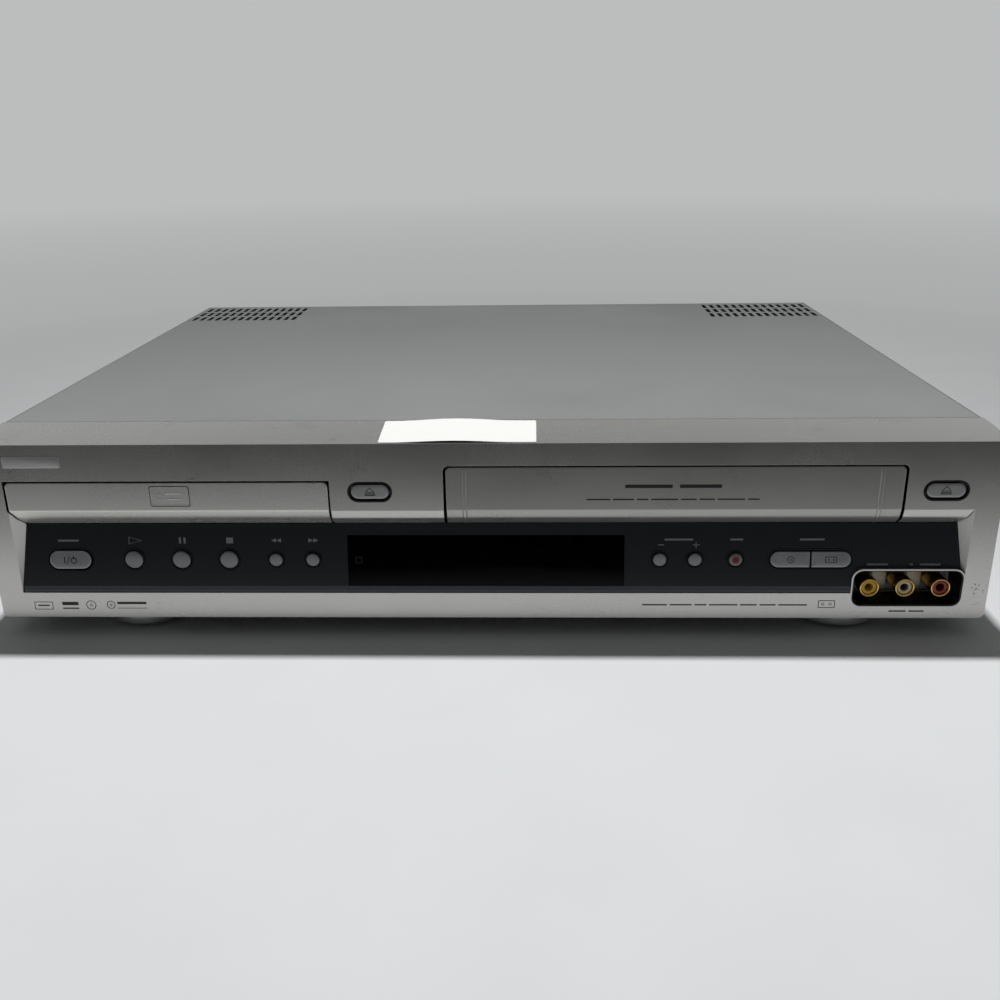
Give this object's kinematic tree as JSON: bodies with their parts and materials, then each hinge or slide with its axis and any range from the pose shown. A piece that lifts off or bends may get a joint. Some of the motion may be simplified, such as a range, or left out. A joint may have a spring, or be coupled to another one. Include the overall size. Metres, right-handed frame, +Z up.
{
  "type": "combined disc player and video cassette recorder",
  "caption": "Slim silver deck with a disc tray, a hinged cassette door, a slanted dark control panel with push buttons, front sockets and round feet.",
  "frame": {"origin": "bottom centre of the whole object, on the surface that the feet stand on", "axes": "+Z up, -Y out of the front, +X to the right seen from the front"},
  "size_m": [0.43, 0.338, 0.0911],
  "materials": {
    "cover_silver": "fine textured silver-grey paint on sheet steel",
    "bezel_silver": "satin silver paint on moulded plastic",
    "door_silver": "satin silver paint, slightly darker than the bezel",
    "panel_smoke": "glossy blue-black smoked plastic",
    "window_black": "mirror-smooth black acrylic",
    "tube_glass": "clear glass over a grey-green display grid",
    "board_green": "green solder resist with tinned pads",
    "cup_black": "glossy black plastic",
    "jack_gold": "gold-plated, lightly rubbed",
    "insert_yellow": "yellow plastic",
    "insert_white": "ivory white plastic",
    "insert_red": "dark red plastic",
    "chassis_steel": "zinc-plated sheet steel",
    "screw_black": "black passivated steel",
    "foot_grey": "dark grey moulded plastic with a satin skirt",
    "power_parts_mix": "steel laminations, sleeved capacitors and black aluminium fins",
    "bush_black": "soft black bush",
    "tuner_tin": "tin-plated steel",
    "label_paper": "blank white paper",
    "loader_black": "black moulded plastic, matt",
    "tray_grey": "charcoal moulded plastic, finely grained",
    "motor_steel": "drawn steel can",
    "pulley_brass": "turned brass",
    "belt_rubber": "ground rubber belt",
    "gear_white": "natural acetal",
    "bridge_steel": "zinc-plated sheet steel",
    "clamper_grey": "grey moulded plastic",
    "traverse_steel": "pressed steel plate with steel rods",
    "turntable_grey": "grey plastic with a rubber ring",
    "sled_metal": "die-cast zinc, with a glass lens",
    "screw_steel": "rolled steel",
    "deck_steel": "zinc-plated sheet steel with plated posts",
    "holder_steel": "zinc-plated sheet steel",
    "drum_aluminium": "diamond-turned aluminium",
    "capstan_steel": "ground steel",
    "roller_rubber": "ground black rubber",
    "reel_white": "natural acetal",
    "button_grey": "satin grey paint with a fine pearl",
    "record_red": "satin grey paint round a dark red centre",
    "eject_silver": "satin silver paint"
  },
  "bodies": {
    "chassis": {"bottom_chassis": "chassis_steel", "top_cover": "cover_silver", "front_bezel": "bezel_silver", "rear_panel": "chassis_steel", "case_screws": "screw_black", "feet": "foot_grey", "control_panel": "panel_smoke", "display_window": "window_black", "display_tube": "tube_glass", "front_board": "board_green", "jack_cup": "cup_black", "jack_shells": "jack_gold", "yellow_jack_inserts": "insert_yellow", "white_jack_inserts": "insert_white", "red_jack_inserts": "insert_red", "circuit_boards": "board_green", "power_parts": "power_parts_mix", "cord_bush": "bush_black", "tuner": "tuner_tin", "rear_jack_blocks": "cup_black", "paper_label": "label_paper", "loader_frame": "loader_black", "loader_motor": "motor_steel", "loader_belt": "belt_rubber", "clamp_bridge": "bridge_steel", "tape_deck_plate": "deck_steel", "holder_brackets": "holder_steel", "lower_drum": "drum_aluminium"},
    "tray": {"disc_tray": "tray_grey", "tray_door": "door_silver"},
    "drive_gear": {"loader_drive_gear": "gear_white"},
    "belt_gear": {"loader_belt_gear": "gear_white"},
    "motor_pulley": {"loader_motor_pulley": "pulley_brass"},
    "clamper": {"disc_clamper": "clamper_grey"},
    "traverse": {"traverse": "traverse_steel"},
    "turntable": {"turntable": "turntable_grey"},
    "sled": {"pickup_sled": "sled_metal"},
    "lead_screw": {"lead_screw": "screw_steel"},
    "carriage": {"holder_carriage": "holder_steel"},
    "holder": {"cassette_holder": "holder_steel"},
    "cassette_door": {"cassette_door": "door_silver"},
    "head_drum": {"head_drum": "drum_aluminium"},
    "capstan": {"capstan": "capstan_steel"},
    "pinch_arm": {"pinch_arm": "holder_steel"},
    "pinch_roller": {"pinch_roller": "roller_rubber"},
    "supply_reel": {"supply_reel": "reel_white"},
    "take_up_reel": {"take_up_reel": "reel_white"},
    "power_button": {"power_button": "button_grey"},
    "play_button": {"play_button": "button_grey"},
    "pause_button": {"pause_button": "button_grey"},
    "stop_button": {"stop_button": "button_grey"},
    "rewind_button": {"rewind_button": "button_grey"},
    "forward_button": {"forward_button": "button_grey"},
    "channel_down_button": {"channel_down_button": "button_grey"},
    "channel_up_button": {"channel_up_button": "button_grey"},
    "record_button": {"record_button": "record_red"},
    "disc_source_button": {"disc_source_button": "button_grey"},
    "tape_source_button": {"tape_source_button": "button_grey"},
    "disc_eject_button": {"disc_eject_button": "eject_silver"},
    "tape_eject_button": {"tape_eject_button": "eject_silver"}
  },
  "joints": [
    {"name": "tray_slide", "type": "slide", "parent": "chassis", "child": "tray", "axis": [0, -1, 0], "range_m": [0, 0.132]},
    {"name": "drive_gear_spin", "type": "hinge", "parent": "chassis", "child": "drive_gear", "pos_m": [-0.08315, -0.1295, 0.057], "axis": [0, 0, 1], "range_deg": [-947, 0]},
    {"name": "belt_gear_spin", "type": "hinge", "parent": "chassis", "child": "belt_gear", "pos_m": [-0.10225, -0.1295, 0.053], "axis": [0, 0, 1], "range_deg": [0, 1622]},
    {"name": "motor_pulley_spin", "type": "hinge", "parent": "chassis", "child": "motor_pulley", "pos_m": [-0.13425, -0.1295, 0.047], "axis": [0, 0, 1], "range_deg": [0, 4169]},
    {"name": "traverse_tilt", "type": "hinge", "parent": "chassis", "child": "traverse", "pos_m": [-0.1349, 0.001, 0.04625], "axis": [1, 0, 0], "range_deg": [0, 4]},
    {"name": "turntable_spin", "type": "hinge", "parent": "traverse", "child": "turntable", "pos_m": [-0.1349, -0.091, 0.061], "axis": [0, 0, 1], "continuous": true},
    {"name": "clamper_spin", "type": "hinge", "parent": "chassis", "child": "clamper", "pos_m": [-0.1349, -0.091, 0.069], "axis": [0, 0, 1], "continuous": true},
    {"name": "sled_slide", "type": "slide", "parent": "traverse", "child": "sled", "axis": [0, 1, 0], "range_m": [0, 0.034]},
    {"name": "lead_screw_spin", "type": "hinge", "parent": "traverse", "child": "lead_screw", "pos_m": [-0.0969, -0.062, 0.053], "axis": [0, 1, 0], "range_deg": [0, 4082]},
    {"name": "carriage_slide", "type": "slide", "parent": "chassis", "child": "carriage", "axis": [0, 1, 0], "range_m": [0, 0.06]},
    {"name": "holder_lower", "type": "slide", "parent": "carriage", "child": "holder", "axis": [0, 0, -1], "range_m": [0, 0.024]},
    {"name": "cassette_door_swing", "type": "hinge", "parent": "chassis", "child": "cassette_door", "pos_m": [0.07905, -0.1648, 0.082], "axis": [1, 0, 0], "range_deg": [0, 80], "stiffness_Nm_per_rad": 0.006, "springref_deg": -34.38},
    {"name": "head_drum_spin", "type": "hinge", "parent": "chassis", "child": "head_drum", "pos_m": [0.07905, 0.041, 0.0302], "axis": [0, 0.1045, 0.9945], "continuous": true},
    {"name": "capstan_spin", "type": "hinge", "parent": "chassis", "child": "capstan", "pos_m": [0.12905, 0.003, 0.024], "axis": [0, 0, 1], "continuous": true},
    {"name": "pinch_arm_swing", "type": "hinge", "parent": "chassis", "child": "pinch_arm", "pos_m": [0.15305, 0.011, 0.027], "axis": [0, 0, 1], "range_deg": [-20, 0]},
    {"name": "pinch_roller_spin", "type": "hinge", "parent": "pinch_arm", "child": "pinch_roller", "pos_m": [0.141, -0.0062, 0.037], "axis": [0, 0, 1], "continuous": true},
    {"name": "supply_reel_spin", "type": "hinge", "parent": "chassis", "child": "supply_reel", "pos_m": [0.03305, -0.057, 0.029], "axis": [0, 0, 1], "continuous": true},
    {"name": "take_up_reel_spin", "type": "hinge", "parent": "chassis", "child": "take_up_reel", "pos_m": [0.12505, -0.057, 0.029], "axis": [0, 0, 1], "continuous": true},
    {"name": "power_press", "type": "slide", "parent": "chassis", "child": "power_button", "axis": [0, 1, 0], "range_m": [0, 0.0007], "stiffness_N_per_m": 600},
    {"name": "play_press", "type": "slide", "parent": "chassis", "child": "play_button", "axis": [0, 1, 0], "range_m": [0, 0.0007], "stiffness_N_per_m": 600},
    {"name": "pause_press", "type": "slide", "parent": "chassis", "child": "pause_button", "axis": [0, 1, 0], "range_m": [0, 0.0007], "stiffness_N_per_m": 600},
    {"name": "stop_press", "type": "slide", "parent": "chassis", "child": "stop_button", "axis": [0, 1, 0], "range_m": [0, 0.0007], "stiffness_N_per_m": 600},
    {"name": "rewind_press", "type": "slide", "parent": "chassis", "child": "rewind_button", "axis": [0, 1, 0], "range_m": [0, 0.0007], "stiffness_N_per_m": 600},
    {"name": "forward_press", "type": "slide", "parent": "chassis", "child": "forward_button", "axis": [0, 1, 0], "range_m": [0, 0.0007], "stiffness_N_per_m": 600},
    {"name": "channel_down_press", "type": "slide", "parent": "chassis", "child": "channel_down_button", "axis": [0, 1, 0], "range_m": [0, 0.0007], "stiffness_N_per_m": 600},
    {"name": "channel_up_press", "type": "slide", "parent": "chassis", "child": "channel_up_button", "axis": [0, 1, 0], "range_m": [0, 0.0007], "stiffness_N_per_m": 600},
    {"name": "record_press", "type": "slide", "parent": "chassis", "child": "record_button", "axis": [0, 1, 0], "range_m": [0, 0.0007], "stiffness_N_per_m": 600},
    {"name": "disc_source_press", "type": "slide", "parent": "chassis", "child": "disc_source_button", "axis": [0, 1, 0], "range_m": [0, 0.0007], "stiffness_N_per_m": 600},
    {"name": "tape_source_press", "type": "slide", "parent": "chassis", "child": "tape_source_button", "axis": [0, 1, 0], "range_m": [0, 0.0007], "stiffness_N_per_m": 600},
    {"name": "disc_eject_press", "type": "slide", "parent": "chassis", "child": "disc_eject_button", "axis": [0, 1, 0], "range_m": [0, 0.0007], "stiffness_N_per_m": 600},
    {"name": "tape_eject_press", "type": "slide", "parent": "chassis", "child": "tape_eject_button", "axis": [0, 1, 0], "range_m": [0, 0.0007], "stiffness_N_per_m": 600}
  ],
  "couplings": [
    {"joint": "drive_gear_spin", "follows": "tray_slide", "rad_per_m": -125},
    {"joint": "belt_gear_spin", "follows": "tray_slide", "rad_per_m": 214.29},
    {"joint": "motor_pulley_spin", "follows": "tray_slide", "rad_per_m": 551.02},
    {"joint": "lead_screw_spin", "follows": "sled_slide", "rad_per_m": 2094.4},
    {"joint": "clamper_spin", "follows": "turntable_spin", "ratio": 1}
  ]
}
